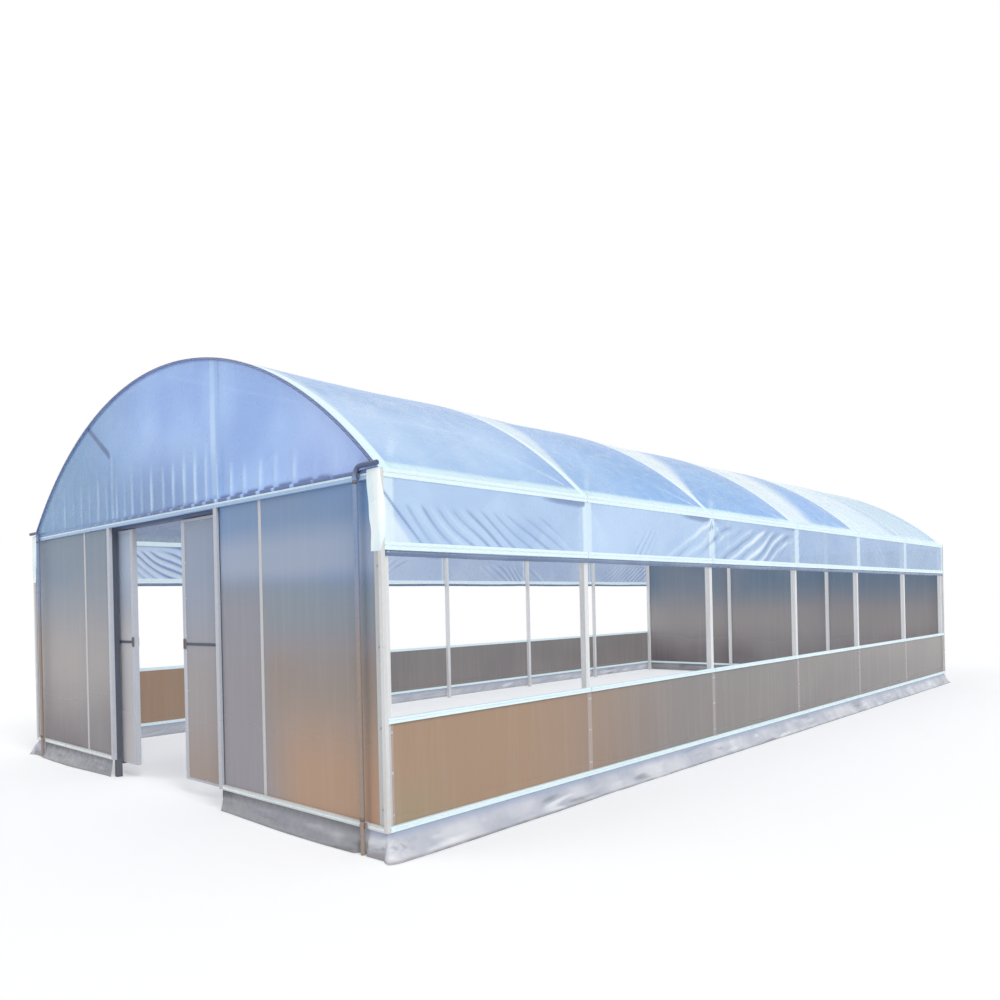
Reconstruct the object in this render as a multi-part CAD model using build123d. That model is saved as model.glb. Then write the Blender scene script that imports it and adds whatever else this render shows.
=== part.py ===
from build123d import *
from math import asin, degrees, sqrt
import os

# A polytunnel greenhouse: straight side walls with an open vent along each of
# them, an arched roof of film over square-tube hoops, end walls of twin-wall
# sheet and a sliding double door in the front one. Millimetres. X runs across the
# front, Y along the ridge with the door at the low end, Z up from the ground. The
# origin is on the ground in the middle of the plan.

# Size of the whole
width = 6000  # over the side rails
bay_length = 2070  # from hoop to hoop
bay_count = 6
eave_height = 2400  # top of the posts and of the eave rails
ridge_height = 3630  # top of the roof film

# Frame
post_size = 50  # square side posts, gable posts and door posts
hoop_size = 32  # square tube of the hoops
purlin_diameter = 25
seat_gap = 0.3  # between a curved or stretched piece and what carries it

# Rails stand on the posts' outer faces and have a groove for the film's wire
rail_depth = 30
groove_depth = 12
groove_mouth_width = 12
groove_floor_width = 18
base_rail_height = 35
base_rail_offset = 180  # middle of the base rail above the ground
sill_rail_height = 35
sill_offset = 845  # middle of the rail along the top of the low wall
vent_head_height = 50
vent_head_offset = 1922  # middle of the rail along the top of the vent
eave_rail_height = 55
end_beam_height = 60

# Cladding
sheet_thickness = 8  # twin-wall sheet
sheet_joint_width = 4  # between two sheets of the back wall
film_thickness = 3
film_recess_depth = 5  # film band behind the rails' outer faces
film_overhang_length = 4  # roof film past the gable film

# Skirt of film from the base rail to the ground
skirt_width = 90  # hem beyond the base rail
skirt_toe_width = 22  # flat hem on the ground
skirt_hem_height = 10

# Gable and doorway
door_post_spacing = 2000  # between the middles of the door posts
brace_drop_length = 462  # from the hoop down to the left door post's top
brace_reach_length = 480  # how far the brace leans out
brace_diameter = 30

# Door track and leaves
track_width = 64
track_height = 60
track_thickness = 4
track_slot_width = 16
track_length = 4760
track_drop = 20  # track's underside below the end beam's
leaf_width = 1255
leaf_bottom_offset = 135  # above the ground
leaf_depth = 40
leaf_stile_width = 70
leaf_rail_height = 50
leaf_top_gap = 10  # under the track
leaf_mid_rail_offset = 1270  # middle of the mid rail above the ground
leaf_mid_rail_height = 36
right_edge_offset = 264  # right leaf's free edge from the middle, as it stands
left_edge_offset = 681  # left leaf's
pane_thickness = 8  # set flush into the frame's outer face
pane_side_lap_width = 15  # over the stiles
pane_end_lap_height = 30  # over the top and bottom rails
pane_joint_height = 4  # between the panes, on the mid rail
wheel_diameter = 36
wheel_width = 12
wheel_slot_gap = 1  # wheel's inner face beyond the slot's edge
axle_diameter = 10
hanger_length = 60
hanger_thickness = 6
hanger_offset = 180  # middle of a hanger from the leaf's ends
pull_width = 44
pull_length = 90
pull_thickness = 5
pull_corner_width = 8  # cut off each corner
pull_dish_width = 22
pull_dish_length = 60
pull_dish_depth = 3

# Bracket on each door post's foot that keeps the leaves' lower edges in line
guide_gap = 7  # on both faces of a leaf and under it
guide_thickness = 5
guide_length = 90
guide_lip_height = 45

# Guide pipe that stands before the front wall near each corner
pipe_diameter = 32
pipe_offset = 220  # middle of the pipe from the side rails' outer face
pipe_bend_radius = 60
pipe_rise_height = 25  # bent end above the eave
saddle_height = 28
saddle_width = 54

# Planes and levels that the pieces share
half_width = width / 2
half_run = bay_length * bay_count / 2
side_face = half_width - rail_depth
end_face = half_run + post_size / 2
wall_face = end_face + rail_depth
post_x = side_face - post_size / 2
door_post_x = door_post_spacing / 2
jamb_outer = door_post_x + post_size / 2
pipe_x = half_width - pipe_offset
base_rail_bottom = base_rail_offset - base_rail_height / 2
base_rail_top = base_rail_bottom + base_rail_height
sill_bottom = sill_offset - sill_rail_height / 2
sill_top = sill_bottom + sill_rail_height
vent_head_bottom = vent_head_offset - vent_head_height / 2
vent_head_top = vent_head_bottom + vent_head_height
eave_rail_bottom = eave_height - eave_rail_height
beam_bottom = eave_height - end_beam_height
leaf_y = -(end_face - post_size - track_width / 2)
track_bottom = beam_bottom - track_drop
leaf_top = track_bottom - leaf_top_gap
wheel_level = track_bottom + track_thickness + seat_gap + wheel_diameter / 2

# One arc from post to post is the hoops' middle line.
hoop_top = ridge_height - film_thickness - seat_gap - hoop_size / 2
hoop_rise = hoop_top - eave_height
hoop_radius = (post_x**2 + hoop_rise**2) / (2 * hoop_rise)
hoop_centre = hoop_top - hoop_radius
hoop_inner_radius = hoop_radius - hoop_size / 2
film_radius = hoop_radius + hoop_size / 2 + seat_gap

# Each wall's pieces are drawn facing +X and turned onto their wall.
WALL_TURN = {"right": 0, "back": 90, "left": 180, "front": -90}


def on_wall(wall, piece):
    """Turn a piece that faces +X onto one of the four walls."""
    return Rot(0, 0, WALL_TURN[wall]) * piece


def block(x, y, z):
    """A bar with square corners between two values on each axis."""
    middle = Pos((x[0] + x[1]) / 2, (y[0] + y[1]) / 2, (z[0] + z[1]) / 2)
    return middle * Box(x[1] - x[0], y[1] - y[0], z[1] - z[0])


def rod(start, end, diameter):
    """A round bar from one point to another."""
    way = Vector(*end) - Vector(*start)
    return extrude(Plane(origin=start, z_dir=way) * Circle(diameter / 2), way.length)


def across(y):
    """Upright plane across the building: its X is X and its Y is the height."""
    return Plane(origin=(0, y, 0), x_dir=(1, 0, 0), z_dir=(0, -1, 0))


def disc_between(y_low, y_high, radius):
    """All that lies inside a circle about the hoops' centre, between two Y."""
    return extrude(across(y_high) * Pos(0, hoop_centre) * Circle(radius), y_high - y_low)


# Hoops, posts and purlin


def stations():
    """Y of every hoop and its pair of posts, from the front."""
    return [-half_run + number * bay_length for number in range(bay_count + 1)]


def side_posts(side):
    """Square posts from the ground to the eave, one under each hoop's foot."""
    x = side * post_x
    half = post_size / 2
    return [
        block((x - half, x + half), (y - half, y + half), (0, eave_height))
        for y in stations()
    ]


def hoop(y):
    """Square tube bent to the roof's arc and cut level on its two posts."""
    half_angle = 1.1 * degrees(asin(post_x / hoop_radius))
    centre_line = Axis((0, y, hoop_centre), (0, 1, 0))
    crown = Plane(origin=(0, y, hoop_top), x_dir=(0, 1, 0), z_dir=(1, 0, 0))
    bent = revolve(crown * Rectangle(hoop_size, hoop_size), centre_line, 2 * half_angle)
    over_eave = block(
        (-half_width, half_width),
        (y - hoop_size, y + hoop_size),
        (eave_height, ridge_height),
    )
    return bent.rotate(centre_line, -half_angle) & over_eave


def ridge_purlin():
    """Round tube along the ridge, under the hoops."""
    z = hoop_top - hoop_size / 2 - seat_gap - purlin_diameter / 2
    return rod((0, -end_face, z), (0, end_face, z), purlin_diameter)


# Rails, sheets and films


def rail_section(height):
    """Rail's section: a bar with a dovetail groove along its outer face."""
    half = height / 2
    mouth = groove_mouth_width / 2
    floor = groove_floor_width / 2
    groove_bottom = rail_depth - groove_depth
    return make_face(
        Polyline(
            (0, -half),
            (rail_depth, -half),
            (rail_depth, -mouth),
            (groove_bottom, -floor),
            (groove_bottom, floor),
            (rail_depth, mouth),
            (rail_depth, half),
            (0, half),
            close=True,
        )
    )


def rail(face, start, end, bottom, top):
    """A rail on a face square to X, from one Y to another."""
    plane = Plane(origin=(face, end, (bottom + top) / 2), x_dir=(1, 0, 0), z_dir=(0, -1, 0))
    return extrude(plane * rail_section(top - bottom), end - start)


def side_rail(wall, bottom, top):
    """A rail from end to end of a side wall."""
    return on_wall(wall, rail(side_face, -end_face, end_face, bottom, top))


def end_rail(wall, start, end, bottom, top):
    """A rail along part of an end wall."""
    return on_wall(wall, rail(end_face, start, end, bottom, top))


def corner_channels():
    """Bars that close the side and end rails at the four corners."""
    return [
        block(
            sorted((side * side_face, side * half_width)),
            sorted((end * end_face, end * wall_face)),
            (base_rail_bottom, eave_height),
        )
        for side in (-1, 1)
        for end in (-1, 1)
    ]


def side_film(wall):
    """Film band from the eave rail down to the vent head rail."""
    outer = half_width - film_recess_depth
    x = (outer - film_thickness, outer)
    return on_wall(wall, block(x, (-end_face, end_face), (vent_head_top, eave_rail_bottom)))


def low_wall(wall):
    """Twin-wall sheet from the base rail to the sill rail."""
    x = (side_face, side_face + sheet_thickness)
    return on_wall(wall, block(x, (-end_face, end_face), (base_rail_top, sill_bottom)))


def end_sheet(wall, start, end):
    """Twin-wall sheet of an end wall, from its base rail to its beam."""
    x = (end_face, end_face + sheet_thickness)
    return on_wall(wall, block(x, (start, end), (base_rail_top, beam_bottom)))


def back_sheets():
    """Three sheets of the back wall that meet on the gable posts."""
    half = sheet_joint_width / 2
    return [
        end_sheet("back", -side_face, -door_post_x - half),
        end_sheet("back", -door_post_x + half, door_post_x - half),
        end_sheet("back", door_post_x + half, side_face),
    ]


def roof_film():
    """Film over all the hoops: a thin arc that ends level on the eave rails."""
    reach = end_face + seat_gap + film_thickness + film_overhang_length
    shell = disc_between(-reach, reach, film_radius + film_thickness)
    shell -= disc_between(-reach, reach, film_radius)
    over_eave = (eave_height + seat_gap, ridge_height + film_thickness)
    return shell & block((-half_width, half_width), (-reach, reach), over_eave)


def gable_film(end):
    """Film over a gable, under the edge of the roof film."""
    y = sorted((end * (end_face + seat_gap), end * (end_face + seat_gap + film_thickness)))
    over_eave = (eave_height + seat_gap, ridge_height)
    disc = disc_between(y[0], y[1], film_radius - seat_gap)
    return disc & block((-half_width, half_width), y, over_eave)


# Skirt


def skirt_section():
    """Skirt's section, from the base rail's outer face: sloping film and flat hem."""
    top = -rail_depth / 2
    toe = skirt_width - skirt_toe_width
    return make_face(
        Polyline(
            (top, base_rail_bottom),
            (top + film_thickness, base_rail_bottom),
            (toe, skirt_hem_height),
            (skirt_width, film_thickness),
            (skirt_width, 0),
            (toe - film_thickness, 0),
            close=True,
        )
    )


def skirt_run(face, start, end):
    """Straight skirt that faces +X, from one Y to another."""
    plane = Plane(origin=(face, end, 0), x_dir=(1, 0, 0), z_dir=(0, -1, 0))
    return extrude(plane * skirt_section(), end - start)


def skirt_corner(end):
    """Quarter turn of the skirt around a right corner."""
    section = Plane.XZ * Pos(rail_depth, 0) * skirt_section()
    quarter = Pos(side_face, end_face, 0) * revolve(section, Axis.Z, 90)
    return quarter if end > 0 else mirror(quarter, about=Plane.XZ)


def skirt_corners():
    """The four corners; those in front run on to the guide pipes."""
    pipe_side = pipe_x + pipe_diameter / 2 + film_thickness
    return_run = on_wall("front", skirt_run(wall_face, pipe_side, side_face))
    right = [skirt_corner(-1) + return_run, skirt_corner(1)]
    return right + [mirror(piece, about=Plane.YZ) for piece in right]


def front_skirts():
    """Skirts from each jamb to the guide pipe."""
    pipe_side = pipe_x - pipe_diameter / 2 - film_thickness
    right = on_wall("front", skirt_run(wall_face, jamb_outer, pipe_side))
    return [mirror(right, about=Plane.YZ), right]


# Gable and doorway


def tall_post(end, x):
    """Post from the ground, cut at its top to the hoop's curve."""
    half = post_size / 2
    y = sorted((end * (end_face - post_size), end * end_face))
    full = block((x - half, x + half), y, (0, ridge_height))
    return full & disc_between(y[0], y[1], hoop_inner_radius - seat_gap)


def braced_post():
    """Left door post: it ends below the hoop, and the brace carries its top."""
    half = post_size / 2
    y = (-end_face, -end_face + post_size)
    return block((-door_post_x - half, -door_post_x + half), y, (0, braced_post_top()))


def braced_post_top():
    """Height of the left door post, below the hoop over it."""
    over_post = hoop_centre + sqrt(hoop_radius**2 - door_post_x**2)
    return over_post - brace_drop_length


def gable_brace():
    """Round brace from the left door post's top out to the hoop's underside."""
    y = -(end_face - post_size / 2)
    top = braced_post_top()
    reach = door_post_x + brace_reach_length
    end_z = hoop_centre + sqrt(hoop_radius**2 - reach**2)
    bar = rod((-door_post_x, y, top), (-reach, y, end_z), brace_diameter)
    bar &= block((-reach, 0), (y - post_size, y + post_size), (top, ridge_height))
    return bar & disc_between(y - post_size, y + post_size, hoop_inner_radius - seat_gap)


def jambs():
    """Bars down the front of the door posts that close the sheets' edges."""
    half = post_size / 2
    y = (-wall_face, -end_face)
    z = (base_rail_bottom, beam_bottom)
    return [block((x - half, x + half), y, z) for x in (-door_post_x, door_post_x)]


def guide_pipe():
    """Right guide pipe, bent out over the corner, with two saddles on the rails."""
    y = -(wall_face + seat_gap + pipe_diameter / 2)
    top = eave_height + pipe_rise_height
    route = FilletPolyline(
        (pipe_x, y, 0), (pipe_x, y, top), (half_width, y, top), radius=pipe_bend_radius
    )
    pipe = sweep(Plane(origin=(pipe_x, y, 0)) * Circle(pipe_diameter / 2), path=route)
    half = saddle_width / 2
    for level in (base_rail_offset, beam_bottom + end_beam_height / 2):
        z = (level - saddle_height / 2, level + saddle_height / 2)
        pipe += block((pipe_x - half, pipe_x + half), (y, -wall_face), z)
    return pipe


# Door


def track():
    """Channel with a slot underneath and closed ends, inside the door posts."""
    top = track_bottom + track_height
    inner_width = track_width - 2 * track_thickness
    start = (-track_length / 2, leaf_y, (track_bottom + top) / 2)
    plane = Plane(origin=start, x_dir=(0, 1, 0), z_dir=(1, 0, 0))
    outer = extrude(plane * Rectangle(track_width, track_height), track_length)
    room = Rectangle(inner_width, track_height - 2 * track_thickness)
    slot = Pos(0, -track_height / 2) * Rectangle(track_slot_width, 2 * track_thickness)
    inner = extrude(plane * (room + slot), track_length - 2 * track_thickness)
    return outer - Pos(track_thickness, 0, 0) * inner


def leaf_span():
    """X limits of the right leaf as it stands."""
    return (right_edge_offset, right_edge_offset + leaf_width)


def leaf_openings():
    """X and Z limits of the two openings in the right leaf's frame."""
    x = (leaf_span()[0] + leaf_stile_width, leaf_span()[1] - leaf_stile_width)
    half = leaf_mid_rail_height / 2
    lower = (leaf_bottom_offset + leaf_rail_height, leaf_mid_rail_offset - half)
    upper = (leaf_mid_rail_offset + half, leaf_top - leaf_rail_height)
    return [(x, lower), (x, upper)]


def leaf_rebate():
    """Seat of the panes, cut into the frame's outer face."""
    lower, upper = leaf_openings()
    face = leaf_y - leaf_depth / 2
    return block(
        (lower[0][0] - pane_side_lap_width, lower[0][1] + pane_side_lap_width),
        (face, face + pane_thickness),
        (lower[1][0] - pane_end_lap_height, upper[1][1] + pane_end_lap_height),
    )


def leaf_frame():
    """Stiles, rails and mid rail of the right leaf, with the panes' seat."""
    half = leaf_depth / 2
    frame = block(leaf_span(), (leaf_y - half, leaf_y + half), (leaf_bottom_offset, leaf_top))
    for x, z in leaf_openings():
        frame -= block(x, (leaf_y - half, leaf_y + half), z)
    return frame - leaf_rebate()


def leaf_panes():
    """Two twin-wall panes that fill the seat and meet on the mid rail."""
    half = pane_joint_height / 2
    z = (leaf_mid_rail_offset - half, leaf_mid_rail_offset + half)
    joint = block((-half_width, half_width), (-wall_face, 0), z)
    return (leaf_rebate() - joint).solids()


def leaf_pull():
    """Dished pull plates on both faces of the right leaf's free stile."""
    x = leaf_span()[0] + (leaf_stile_width - pane_side_lap_width) / 2
    outline = chamfer(Rectangle(pull_width, pull_length).vertices(), pull_corner_width)
    dish = extrude(Rectangle(pull_dish_width, pull_dish_length), pull_dish_depth)
    plate = extrude(outline, pull_thickness) - Pos(0, 0, pull_thickness - pull_dish_depth) * dish
    outer = across(leaf_y - leaf_depth / 2) * Pos(x, leaf_mid_rail_offset) * plate
    return [outer, mirror(outer, about=Plane(origin=(0, leaf_y, 0), z_dir=(0, 1, 0)))]


def trolley(x):
    """Hanger plate through the slot, with an axle and a wheel on each side."""
    half = hanger_length / 2
    thick = hanger_thickness / 2
    plate_top = wheel_level + axle_diameter
    body = block((x - half, x + half), (leaf_y - thick, leaf_y + thick), (leaf_top, plate_top))
    wheel_inner = track_slot_width / 2 + wheel_slot_gap
    wheel_outer = wheel_inner + wheel_width
    for sign in (-1, 1):
        inner = (x, leaf_y + sign * wheel_inner, wheel_level)
        outer = (x, leaf_y + sign * wheel_outer, wheel_level)
        body += rod(inner, outer, wheel_diameter)
    axle = ((x, leaf_y - wheel_outer, wheel_level), (x, leaf_y + wheel_outer, wheel_level))
    return body + rod(*axle, axle_diameter)


def leaf_trolleys():
    """The two trolleys that carry the right leaf."""
    low, high = leaf_span()
    return [trolley(low + hanger_offset), trolley(high - hanger_offset)]


def door_guides():
    """Angle brackets from the door posts' feet that hold the leaves in line."""
    post_side = -(end_face - post_size)
    lip = leaf_y + leaf_depth / 2 + guide_gap
    floor = leaf_bottom_offset - guide_gap
    half = guide_length / 2
    x = (door_post_x - half, door_post_x + half)
    shelf = block(x, (post_side, lip + guide_thickness), (floor - guide_thickness, floor))
    upright = block(x, (lip, lip + guide_thickness), (floor, floor + guide_lip_height))
    return both_sides(shelf + upright)


def both_sides(piece):
    """A piece and its mirror image on the left."""
    return [piece, mirror(piece, about=Plane.YZ)]


def save(name, pieces):
    """Write one node: one solid, or several that don't touch."""
    pieces = pieces if isinstance(pieces, list) else [pieces]
    solids = [solid for piece in pieces for solid in piece.solids()]
    shape = solids[0] if len(solids) == 1 else Compound(children=solids)
    export_step(shape, f"parts/{name}.step")


os.makedirs("parts", exist_ok=True)

for number, station in enumerate(stations(), start=1):
    save(f"hoop_{number}", hoop(station))
save("ridge_purlin", ridge_purlin())
save("posts_left", side_posts(-1))
save("posts_right", side_posts(1))
save("roof_film", roof_film())

for wall in ("left", "right"):
    save(f"eave_rail_{wall}", side_rail(wall, eave_rail_bottom, eave_height))
    save(f"vent_head_rail_{wall}", side_rail(wall, vent_head_bottom, vent_head_top))
    save(f"sill_rail_{wall}", side_rail(wall, sill_bottom, sill_top))
    save(f"base_rail_{wall}", side_rail(wall, base_rail_bottom, base_rail_top))
    save(f"side_film_{wall}", side_film(wall))
    save(f"low_wall_{wall}", low_wall(wall))
    save(f"skirt_{wall}", on_wall(wall, skirt_run(half_width, -end_face, end_face)))
save("skirt_corners", skirt_corners())
save("front_skirts", front_skirts())
save("back_skirt", on_wall("back", skirt_run(wall_face, -side_face, side_face)))
save("corner_channels", corner_channels())

save("front_beam", end_rail("front", -side_face, side_face, beam_bottom, eave_height))
save("back_beam", end_rail("back", -side_face, side_face, beam_bottom, eave_height))
front_base_rail = end_rail("front", jamb_outer, side_face, base_rail_bottom, base_rail_top)
save("front_base_rails", both_sides(front_base_rail))
save("back_base_rail", end_rail("back", -side_face, side_face, base_rail_bottom, base_rail_top))
save("front_sheet_left", end_sheet("front", -side_face, -jamb_outer))
save("front_sheet_right", end_sheet("front", jamb_outer, side_face))
save("back_sheets", back_sheets())
save("gable_film_front", gable_film(-1))
save("gable_film_back", gable_film(1))

save("door_post_left", braced_post())
save("door_post_right", tall_post(-1, door_post_x))
save("gable_brace", gable_brace())
save("back_gable_posts", both_sides(tall_post(1, door_post_x)))
save("door_jambs", jambs())
save("guide_pipe_right", guide_pipe())
save("guide_pipe_left", mirror(guide_pipe(), about=Plane.YZ))

save("door_track", track())
save("door_guides", door_guides())
for part, pieces in (
    ("frame", [leaf_frame()]),
    ("panes", leaf_panes()),
    ("trolleys", leaf_trolleys()),
    ("handle", leaf_pull()),
):
    save(f"door_right_{part}", pieces)
    further = Pos(right_edge_offset - left_edge_offset, 0, 0)
    save(f"door_left_{part}", [further * mirror(piece, about=Plane.YZ) for piece in pieces])
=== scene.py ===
import math

import bpy
import numpy as np
from mathutils import Matrix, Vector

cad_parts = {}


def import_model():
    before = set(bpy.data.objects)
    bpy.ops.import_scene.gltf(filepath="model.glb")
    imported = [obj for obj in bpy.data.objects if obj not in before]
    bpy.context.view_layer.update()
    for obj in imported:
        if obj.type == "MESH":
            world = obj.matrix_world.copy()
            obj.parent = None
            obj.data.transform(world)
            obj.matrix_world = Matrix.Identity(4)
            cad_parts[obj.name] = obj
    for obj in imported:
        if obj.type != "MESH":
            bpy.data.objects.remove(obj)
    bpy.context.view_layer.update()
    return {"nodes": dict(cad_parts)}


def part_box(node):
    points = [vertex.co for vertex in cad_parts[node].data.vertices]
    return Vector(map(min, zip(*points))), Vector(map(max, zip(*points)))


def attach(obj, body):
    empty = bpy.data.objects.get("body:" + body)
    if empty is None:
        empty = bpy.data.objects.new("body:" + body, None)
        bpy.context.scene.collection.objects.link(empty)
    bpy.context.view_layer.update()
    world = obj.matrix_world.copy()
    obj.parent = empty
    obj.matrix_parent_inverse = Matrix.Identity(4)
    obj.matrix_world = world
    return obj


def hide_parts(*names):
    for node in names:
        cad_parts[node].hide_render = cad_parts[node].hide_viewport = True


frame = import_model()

# A polytunnel greenhouse in metres: X across the front, Y along the ridge with the
# door at the low end, Z up. Films, wires and fasteners are made here.

SIDES = ((1, "right"), (-1, "left"))
ENDS = ((-1, "front"), (1, "back"))


def levels(node):
    """Foot and top of a part."""
    return [corner.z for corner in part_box(node)]


# Levels and faces, read from the frame's own parts
side_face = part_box("base_rail_right")[1].x
post_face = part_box("posts_right")[1].x
wall_face = -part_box("front_beam")[0].y
end_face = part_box("side_film_right")[1].y
jamb_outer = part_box("door_jambs")[1].x
pipe_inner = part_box("guide_pipe_right")[0].x
beam_bottom, eave_level = levels("front_beam")
base_bottom, base_top = levels("base_rail_right")
vent_head_bottom, vent_head_top = levels("vent_head_rail_right")
sill_bottom, sill_top = levels("sill_rail_right")
band_bottom, band_top = levels("side_film_right")
stations = np.array([sum(corner.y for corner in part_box(f"hoop_{k}")) / 2 for k in range(1, 8)])
bay = stations[1] - stations[0]

# The roof film's outer arc, from its width and its rise
roof_low, roof_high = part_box("roof_film")
roof_rise = roof_high.z - roof_low.z
roof_radius = (roof_high.x**2 + roof_rise**2) / (2 * roof_rise)
roof_centre = roof_high.z - roof_radius
roof_angle = math.asin(roof_high.x / roof_radius)
roof_reach = roof_high.y
film_radius = roof_radius - 0.0018

# Middles of the door posts and of the front sheets' joints, from the middle of the front,
# and of the edge bars, in from the corner post
door_post = 1.0
sheet_joint = 1.606
edge_inset = 0.036


# Shapes


def joined(x, y, z):
    """Points from their X, Y and Z."""
    return np.stack(np.broadcast_arrays(x, y, z), -1)


def skin(grid, flipped=False):
    """Faces between neighbours of a grid of points (rows, columns, 3)."""
    index = np.arange(grid.size // 3).reshape(grid.shape[:2])
    faces = np.stack((index[:-1, :-1], index[1:, :-1], index[1:, 1:], index[:-1, 1:]), -1)
    faces = faces.reshape(-1, 4)
    return grid.reshape(-1, 3), (faces[:, ::-1] if flipped else faces).tolist()


def tube(grid):
    """Faces round a tube whose rings of points are the rows of a grid, and its caps."""
    index = np.arange(grid.size // 3).reshape(grid.shape[:2])
    ahead = np.roll(index, -1, axis=1)
    sides = np.stack((index[:-1], ahead[:-1], ahead[1:], index[1:]), -1).reshape(-1, 4)
    return grid.reshape(-1, 3), [*sides.tolist(), index[0, ::-1].tolist(), index[-1].tolist()]


def run(path, section, across, up):
    """A closed section carried along a path: path point, plus the section's first number
    times across, plus its second times up. Flat caps close both ends."""
    path, section = np.asarray(path, float), np.asarray(section, float)
    across, up = (np.broadcast_to(np.asarray(way, float), path.shape) for way in (across, up))
    points, faces = tube(
        path[:, None] + section[:, :1] * across[:, None] + section[:, 1:] * up[:, None]
    )
    if np.dot(path[1] - path[0], np.cross(across[0], up[0])) < 0:
        faces = [face[::-1] for face in faces]
    return points, faces


def bar(width, height):
    """Corners of an oblong section, anticlockwise."""
    w, h = width / 2, height / 2
    return [(-w, -h), (w, -h), (w, h), (-w, h)]


def disc(radius, sides=8):
    """Corners of a round section: radius times cosine and sine of equal turns."""
    turn = np.arange(sides) * 2 * np.pi / sides
    return np.stack((radius * np.cos(turn), radius * np.sin(turn)), -1)


def turned(profile, sides):
    """A profile of (radius, height) carried round the upright axis, with flat caps."""
    profile = np.asarray(profile, float)[:, None]
    flat = profile[..., :1] * disc(1.0, sides)
    height = np.broadcast_to(profile[..., 1:], (*flat.shape[:2], 1))
    return tube(np.concatenate((flat, height), -1))


def gather(shells):
    """Several shells as one: points in a row, face numbers moved along to match."""
    points, faces, start = [], [], 0
    for shell_points, shell_faces in shells:
        points.append(shell_points)
        faces += [[number + start for number in face] for face in shell_faces]
        start += len(shell_points)
    return np.concatenate(points), faces


def facing(way):
    """Rows X, Y and Z of a level frame whose Z points one way."""
    z = np.asarray(way, float) / np.linalg.norm(way)
    x = np.cross((0.0, 0.0, 1.0), z)
    x /= np.linalg.norm(x)
    return np.stack((x, np.cross(z, x), z))


def set_out(shell, places, way):
    """Copies of a shell at each place, its upright axis turned to face one way."""
    points, faces = shell
    local = points @ facing(way)
    return gather([(local + np.asarray(place, float), faces) for place in places])


def put_in_scene(name, data):
    made = bpy.data.objects.new(name, data)
    bpy.context.scene.collection.objects.link(made)
    return made


def mesh_object(name, points, faces):
    mesh = bpy.data.meshes.new(name)
    mesh.from_pydata(points.tolist(), [], faces)
    return put_in_scene(name, mesh)


def piece(name, shells, finish, slot, body="shell", smooth=False, **fields):
    """A mesh object from shells, with a number per point for each field, on its body."""
    made = mesh_object(name, *gather(shells))
    mesh = made.data
    for label, values in fields.items():
        layer = mesh.attributes.new(label, "FLOAT", "POINT")
        layer.data.foreach_set("value", np.ascontiguousarray(values, np.float32).ravel())
    mesh.polygons.foreach_set("use_smooth", [smooth] * len(mesh.polygons))
    mesh.materials.append(bpy.data.materials[finish])
    mesh.update()
    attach(made, body)
    return made


def sheet(name, grid, finish, held, rests_on, replaced, flipped, fold, slot="film", **fields):
    """A sheet over a grid of points. Its cut width and length are its rows' and columns'
    own lengths, and its area is the sum of its faces'. It stands for the nodes replaced.
    Its fold goes from -1 in a crease to 1 on a ridge."""
    fields["fold"] = np.clip(fold, -1, 1)
    made = piece(name, [skin(grid, flipped)], finish, slot, smooth=True, **fields)
    long, wide = (
        np.linalg.norm(np.diff(grid, axis=way), axis=-1).sum(axis=way).max() for way in (0, 1)
    )
    one, two = grid[1:, 1:] - grid[:-1, :-1], grid[1:, :-1] - grid[:-1, 1:]
    area = float(np.linalg.norm(np.cross(one, two), axis=-1).sum() / 2)
    area = min(area, long * wide)
    if replaced:
        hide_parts(*replaced)


# Unevenness of cloth


def rumple(a, b, reach, seed, waves=18):
    """Soft unevenness from about -1 to 1: a sum of sine waves over a and b, each with its
    own direction, length near reach and start."""
    rng = np.random.default_rng(seed)
    total = np.zeros(np.broadcast(a, b).shape)
    for way, length, start in zip(
        rng.uniform(0, 2 * np.pi, waves),
        reach * rng.uniform(0.6, 1.9, waves),
        rng.uniform(0, 2 * np.pi, waves),
    ):
        total += np.sin(2 * np.pi * (a * np.cos(way) + b * np.sin(way)) / length + start)
    return total / math.sqrt(waves)


def ease(value, low, high):
    """Smooth step: 0 at low, 1 at high, three times the square less twice the cube."""
    part = np.clip((value - low) / (high - low), 0, 1)
    return part * part * (3 - 2 * part)


def window(value, low, high, edge):
    """1 between low and high, eased to 0 over edge outside them."""
    return ease(value, low - edge, low) * (1 - ease(value, high, high + edge))


def crease(along, spacing, wander, sharp, crest):
    """Valleys between crests: crest, less (1 + crest) times the power sharp of the size of
    a cosine of the distance across them, whose spacing wanders."""
    wave = np.abs(np.cos(np.pi * (along / spacing + wander)))
    return crest - (1 + crest) * wave**sharp


# Finishes. A colour is written as paint, three numbers from 0 to 255


def tint(colour, share=1.0):
    """The light that a paint colour gives back, or a share of it."""
    part = np.array(colour) / 255
    light = np.where(part <= 0.04045, part / 12.92, ((part + 0.055) / 1.055) ** 2.4)
    return (*[value * share for value in light.tolist()], 1.0)


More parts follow.
